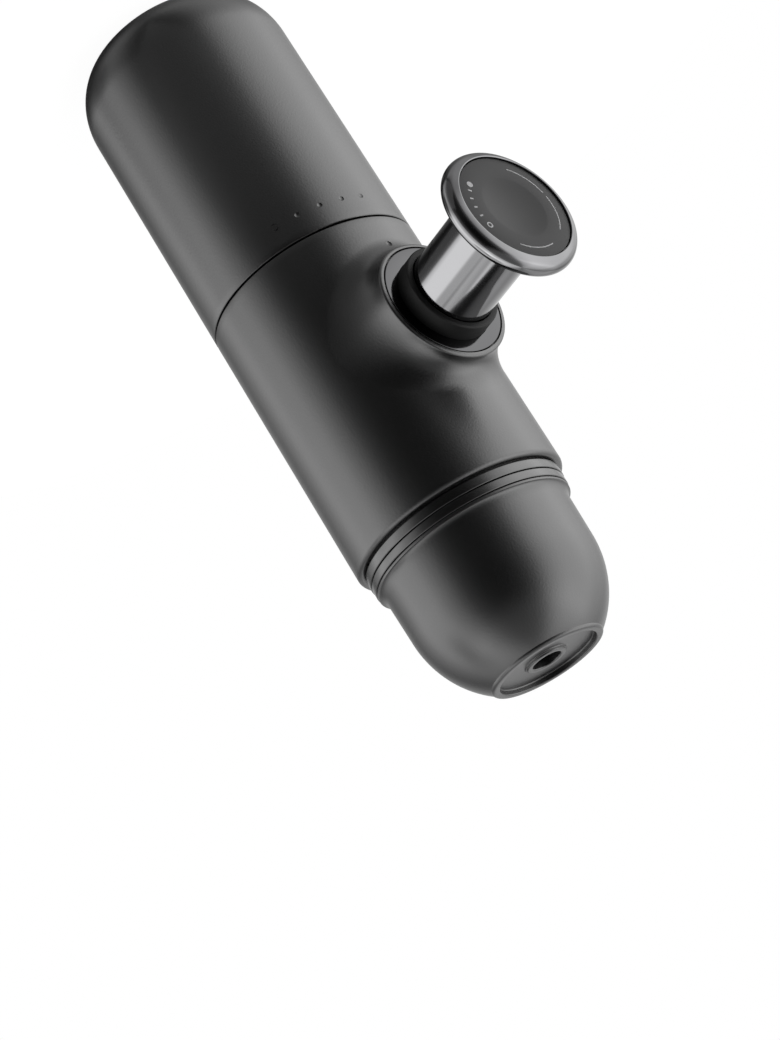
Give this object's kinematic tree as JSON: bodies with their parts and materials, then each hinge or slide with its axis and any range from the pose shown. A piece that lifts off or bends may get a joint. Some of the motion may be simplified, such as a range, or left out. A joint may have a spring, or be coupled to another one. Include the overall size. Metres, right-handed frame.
{
  "type": "handheld manual espresso maker",
  "caption": "Slim round hand pump espresso maker: screw-on water tank, pump body with side plunger knob, and screw-on outlet head with spout.",
  "frame": {"origin": "centre of the tank's flat end, on which the maker stands", "axes": "+Z along the maker's axis from the tank to the outlet, -Y towards the pump knob"},
  "size_m": [0.06, 0.1008, 0.2072],
  "materials": {
    "casing": "satin soft-touch moulded plastic, very fine grain",
    "head_plastic": "satin moulded plastic",
    "inner_plastic": "moulded plastic",
    "dark_plastic": "moulded plastic",
    "collar_plastic": "matte moulded plastic",
    "bezel_metal": "fine satin grey",
    "tube_metal": "dark polished chrome",
    "rim_metal": "satin, turned",
    "inlay": "matte moulded plastic, dished",
    "steel": "plain stainless",
    "seal": "plain moulded seal rubber"
  },
  "bodies": {
    "tank": {"tank_shell": "casing", "tank_liner": "inner_plastic"},
    "seal_carrier": {"tank_seal": "seal"},
    "pump_body": {"body_shell": "casing", "tank_spigot": "dark_plastic", "vent_valve": "seal", "chassis": "inner_plastic", "group_head": "dark_plastic", "neck_ring": "casing", "boss_bezel": "bezel_metal", "guide_collar": "collar_plastic", "pump_cylinder": "steel", "cylinder_gland": "dark_plastic", "return_spring": "steel", "inlet_valve_body": "inner_plastic", "inlet_seat": "seal", "inlet_spring": "steel", "outlet_valve_body": "inner_plastic", "outlet_seat": "seal", "outlet_spring": "steel", "shower_screen": "steel", "shower_screw": "steel"},
    "piston": {"piston_rod": "steel", "piston_head": "dark_plastic", "piston_seal": "seal", "knob_screw": "steel"},
    "knob": {"knob_sleeve": "tube_metal", "knob_flange": "tube_metal", "knob_rim": "rim_metal", "knob_inlay": "inlay"},
    "inlet_check": {"inlet_ball": "steel"},
    "outlet_check": {"outlet_ball": "steel"},
    "basket": {"group_gasket": "seal", "filter_basket": "steel", "basket_screen": "steel"},
    "head": {"outlet_head": "head_plastic", "head_funnel": "dark_plastic", "head_seal": "seal", "head_collar": "casing", "head_spout": "head_plastic"}
  },
  "joints": [
    {"name": "tank_lift", "type": "slide", "parent": "tank", "child": "seal_carrier", "axis": [0, 0, 1], "range_m": [0, 0.008]},
    {"name": "tank_unscrew", "type": "hinge", "parent": "seal_carrier", "child": "pump_body", "pos_m": [0, 0, 0.0868], "axis": [0, 0, 1], "range_deg": [0, 720]},
    {"name": "head_lift", "type": "slide", "parent": "pump_body", "child": "basket", "axis": [0, 0, 1], "range_m": [0, 0.008]},
    {"name": "head_unscrew", "type": "hinge", "parent": "basket", "child": "head", "pos_m": [0, 0, 0.1644], "axis": [0, 0, 1], "range_deg": [0, 720]},
    {"name": "pump_press", "type": "slide", "parent": "pump_body", "child": "piston", "axis": [0, 1, 0], "range_m": [0, 0.0235], "stiffness_N_per_m": 250, "springref_m": -0.012, "deforming": ["return_spring"]},
    {"name": "knob_turn", "type": "hinge", "parent": "piston", "child": "knob", "pos_m": [0, -0.06, 0.1194], "axis": [0, 1, 0], "range_deg": [0, 60]},
    {"name": "inlet_ball_lift", "type": "slide", "parent": "pump_body", "child": "inlet_check", "axis": [0, 0, 1], "range_m": [0, 0.0012], "stiffness_N_per_m": 10, "springref_m": -0.001, "deforming": ["inlet_spring"]},
    {"name": "outlet_ball_lift", "type": "slide", "parent": "pump_body", "child": "outlet_check", "axis": [0, 0, 1], "range_m": [0, 0.0012], "stiffness_N_per_m": 10, "springref_m": -0.001, "deforming": ["outlet_spring"]}
  ],
  "couplings": [
    {"joint": "tank_lift", "follows": "tank_unscrew", "m_per_rad": 0.00063662},
    {"joint": "head_lift", "follows": "head_unscrew", "m_per_rad": 0.00063662}
  ]
}
